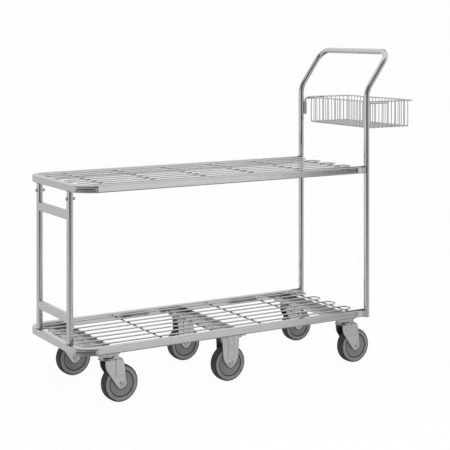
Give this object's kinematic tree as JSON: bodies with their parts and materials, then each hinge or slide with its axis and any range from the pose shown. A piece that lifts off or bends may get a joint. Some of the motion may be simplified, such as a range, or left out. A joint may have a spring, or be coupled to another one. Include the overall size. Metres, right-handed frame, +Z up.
{
  "type": "platform trolley",
  "caption": "Two-deck wire grid stock trolley with a bent push handle, a lift-out wire basket, swivel casters at the corners and fixed wheels in the middle.",
  "frame": {"origin": "on the floor under the middle of the whole trolley, basket included", "axes": "+X towards the push handle and basket, +Y to the right of a person pushing, +Z up"},
  "size_m": [1.403, 0.45, 1.1586],
  "materials": {
    "zinc_tube": "matt zinc plated steel tube",
    "zinc_wire": "zinc plated steel wire",
    "bright_tube": "bright plated steel tube",
    "fasteners": "zinc plated steel",
    "pressed_sheet": "zinc plated steel sheet",
    "caster_sheet": "zinc plated pressed steel",
    "caster_steel": "plated steel",
    "tyre": "dark grey solid rubber",
    "wheel_plastic": "grey moulded plastic",
    "bearing_plastic": "moulded plastic",
    "basket_wire": "zinc plated steel wire"
  },
  "bodies": {
    "trolley_frame": {"basket_sockets": "basket_wire", "caster_bolts": "fasteners", "front_cross_member": "pressed_sheet", "front_posts": "zinc_tube", "lower_deck_cross_wires": "zinc_wire", "lower_deck_rail": "zinc_tube", "lower_deck_wire_loops": "zinc_wire", "lower_post_bar": "zinc_tube", "middle_axles": "caster_steel", "middle_cross_member": "pressed_sheet", "middle_forks": "caster_sheet", "post_bolts": "fasteners", "post_cap_nuts": "fasteners", "post_spigots": "zinc_tube", "push_handle": "bright_tube", "rear_cross_member": "pressed_sheet", "swivel_balls": "caster_steel", "swivel_top_plates": "caster_sheet", "upper_deck_cross_wires": "zinc_wire", "upper_deck_rail": "zinc_tube", "upper_deck_wire_loops": "zinc_wire", "upper_post_bar": "zinc_tube"},
    "front_left_swivel": {"front_left_fork": "caster_sheet", "front_left_kingpin": "caster_steel", "front_left_axle": "caster_steel"},
    "front_right_swivel": {"front_right_fork": "caster_sheet", "front_right_kingpin": "caster_steel", "front_right_axle": "caster_steel"},
    "rear_left_swivel": {"rear_left_fork": "caster_sheet", "rear_left_kingpin": "caster_steel", "rear_left_axle": "caster_steel"},
    "rear_right_swivel": {"rear_right_fork": "caster_sheet", "rear_right_kingpin": "caster_steel", "rear_right_axle": "caster_steel"},
    "front_left_wheel": {"front_left_tyre": "tyre", "front_left_wheel_core": "wheel_plastic", "front_left_bush": "bearing_plastic"},
    "front_right_wheel": {"front_right_tyre": "tyre", "front_right_wheel_core": "wheel_plastic", "front_right_bush": "bearing_plastic"},
    "rear_left_wheel": {"rear_left_tyre": "tyre", "rear_left_wheel_core": "wheel_plastic", "rear_left_bush": "bearing_plastic"},
    "rear_right_wheel": {"rear_right_tyre": "tyre", "rear_right_wheel_core": "wheel_plastic", "rear_right_bush": "bearing_plastic"},
    "middle_left_wheel": {"middle_left_tyre": "tyre", "middle_left_wheel_core": "wheel_plastic", "middle_left_bush": "bearing_plastic"},
    "middle_right_wheel": {"middle_right_tyre": "tyre", "middle_right_wheel_core": "wheel_plastic", "middle_right_bush": "bearing_plastic"},
    "basket": {"basket_rim": "basket_wire", "basket_side_wires": "basket_wire", "basket_length_wires": "basket_wire", "basket_hook_rods": "basket_wire"}
  },
  "joints": [
    {"name": "front_left_swivel_turn", "type": "hinge", "parent": "trolley_frame", "child": "front_left_swivel", "pos_m": [-0.58, -0.186, 0.15], "axis": [0, 0, 1], "continuous": true},
    {"name": "front_right_swivel_turn", "type": "hinge", "parent": "trolley_frame", "child": "front_right_swivel", "pos_m": [-0.58, 0.186, 0.15], "axis": [0, 0, 1], "continuous": true},
    {"name": "rear_left_swivel_turn", "type": "hinge", "parent": "trolley_frame", "child": "rear_left_swivel", "pos_m": [0.3815, -0.186, 0.15], "axis": [0, 0, 1], "continuous": true},
    {"name": "rear_right_swivel_turn", "type": "hinge", "parent": "trolley_frame", "child": "rear_right_swivel", "pos_m": [0.3815, 0.186, 0.15], "axis": [0, 0, 1], "continuous": true},
    {"name": "front_left_wheel_roll", "type": "hinge", "parent": "front_left_swivel", "child": "front_left_wheel", "pos_m": [-0.534, -0.186, 0.0625], "axis": [0, 1, 0], "continuous": true},
    {"name": "front_right_wheel_roll", "type": "hinge", "parent": "front_right_swivel", "child": "front_right_wheel", "pos_m": [-0.534, 0.186, 0.0625], "axis": [0, 1, 0], "continuous": true},
    {"name": "rear_left_wheel_roll", "type": "hinge", "parent": "rear_left_swivel", "child": "rear_left_wheel", "pos_m": [0.4275, -0.186, 0.0625], "axis": [0, 1, 0], "continuous": true},
    {"name": "rear_right_wheel_roll", "type": "hinge", "parent": "rear_right_swivel", "child": "rear_right_wheel", "pos_m": [0.4275, 0.186, 0.0625], "axis": [0, 1, 0], "continuous": true},
    {"name": "middle_left_wheel_roll", "type": "hinge", "parent": "trolley_frame", "child": "middle_left_wheel", "pos_m": [-0.099, -0.16, 0.0625], "axis": [0, 1, 0], "continuous": true},
    {"name": "middle_right_wheel_roll", "type": "hinge", "parent": "trolley_frame", "child": "middle_right_wheel", "pos_m": [-0.099, 0.16, 0.0625], "axis": [0, 1, 0], "continuous": true},
    {"name": "basket_lift_out", "type": "slide", "parent": "trolley_frame", "child": "basket", "axis": [0, 0, 1], "range_m": [0, 0.04]}
  ]
}
